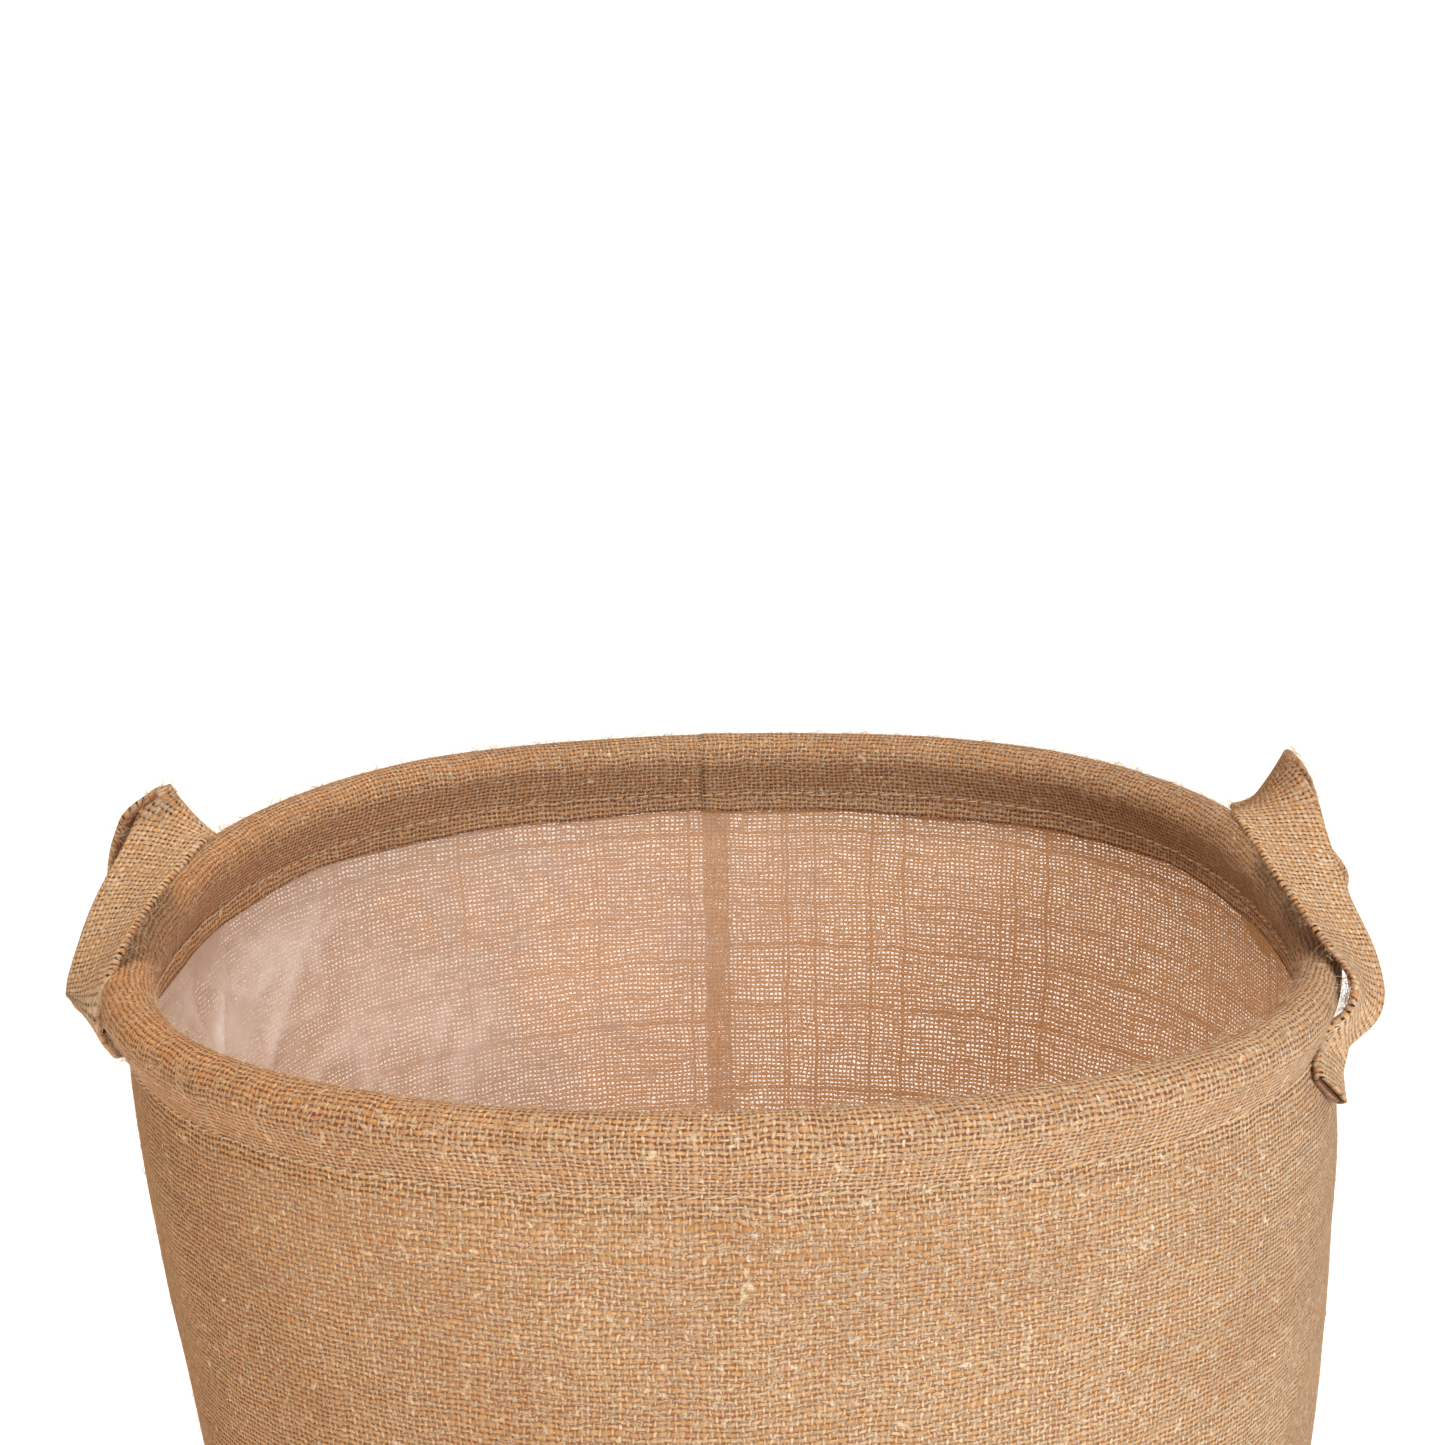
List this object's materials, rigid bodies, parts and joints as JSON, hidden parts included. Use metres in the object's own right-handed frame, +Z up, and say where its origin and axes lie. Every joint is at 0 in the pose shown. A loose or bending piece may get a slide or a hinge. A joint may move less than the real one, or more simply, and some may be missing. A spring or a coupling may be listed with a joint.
{
  "type": "fabric grow bag",
  "caption": "Round tapered jute grow bag with a rolled hooped rim, clear film lining and folded strap handles that flop outwards.",
  "frame": {"origin": "on the floor under the middle of the base", "axes": "+Z up out of the mouth, +X through the right handle, +Y towards the back seam"},
  "size_m": [0.3968, 0.3799, 0.4223],
  "materials": {
    "jute_wall": "coarse plain woven jute, matt, slubbed",
    "jute_strap": "coarse plain woven jute, folded double",
    "film": "thin clear film, milky where it is loose, glossy wrinkles",
    "thread": "natural sewing thread, matt",
    "rim_tube": "plain extruded tube",
    "tube_joiner": "plain plug"
  },
  "bodies": {
    "bag": {"wall": "jute_wall", "wall_film": "film", "base": "jute_wall", "base_film": "film", "rim_tube": "rim_tube", "tube_joiner": "tube_joiner", "hem_stitching": "thread", "seam_stitching": "thread", "base_stitching": "thread", "left_front_end": "jute_strap", "left_back_end": "jute_strap", "right_front_end": "jute_strap", "right_back_end": "jute_strap", "left_end_stitching": "thread", "right_end_stitching": "thread"},
    "left_strap": {"handle_left": "jute_strap"},
    "right_strap": {"handle_right": "jute_strap"}
  },
  "joints": [
    {"name": "handle_left_swing", "type": "hinge", "parent": "bag", "child": "left_strap", "pos_m": [-0.18, 0, 0.3555], "axis": [0, -1, 0], "range_deg": [-3, 112]},
    {"name": "handle_right_swing", "type": "hinge", "parent": "bag", "child": "right_strap", "pos_m": [0.18, 0, 0.3555], "axis": [0, 1, 0], "range_deg": [-3, 112]}
  ]
}
